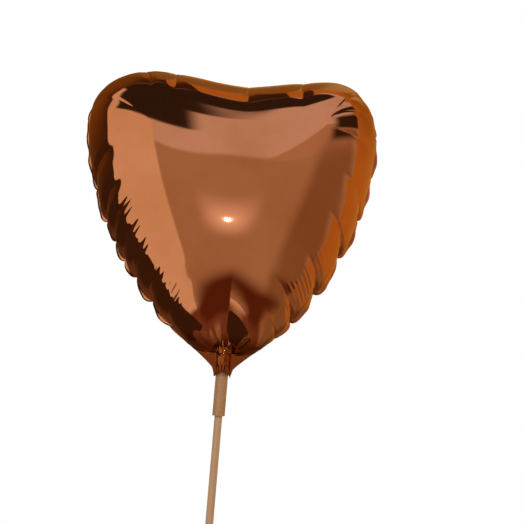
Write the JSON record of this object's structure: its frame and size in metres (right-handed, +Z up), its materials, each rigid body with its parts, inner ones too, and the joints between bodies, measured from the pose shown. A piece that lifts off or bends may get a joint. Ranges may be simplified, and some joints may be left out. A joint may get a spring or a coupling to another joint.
{
  "type": "heart balloon on a stick",
  "caption": "Heart-shaped foil balloon whose gathered tail grips a short plastic sleeve that push-fits on a slim stick.",
  "frame": {"origin": "centre of the stick's lower end, where the stick is gripped or pushed into a base", "axes": "+Z up along the stick, +X across the heart, -Y out of the front of the heart"},
  "size_m": [0.1928, 0.1002, 0.4936],
  "materials": {
    "foil_film": "mirror rose gold metallised film",
    "valve_film": "clear frosted film",
    "stick_plastic": "satin extruded plastic",
    "sleeve_plastic": "semi-gloss translucent plastic"
  },
  "bodies": {
    "stick": {"stick": "stick_plastic"},
    "sleeve": {"sleeve": "sleeve_plastic"},
    "tail": {"front_tail": "foil_film", "back_tail": "foil_film"},
    "balloon": {"front_foil": "foil_film", "back_foil": "foil_film", "valve_front_film": "valve_film", "valve_back_film": "valve_film"}
  },
  "joints": [
    {"name": "sleeve_pull", "type": "slide", "parent": "stick", "child": "sleeve", "axis": [0, 0, 1], "range_m": [0, 0.03]},
    {"name": "tail_twist", "type": "hinge", "parent": "sleeve", "child": "tail", "pos_m": [0, 0, 0.303], "axis": [0, 0, 1], "continuous": true},
    {"name": "neck_nod", "type": "hinge", "parent": "tail", "child": "balloon", "pos_m": [0, 0, 0.3125], "axis": [1, 0, 0], "range_deg": [-15, 15], "stiffness_Nm_per_rad": 0.03}
  ]
}
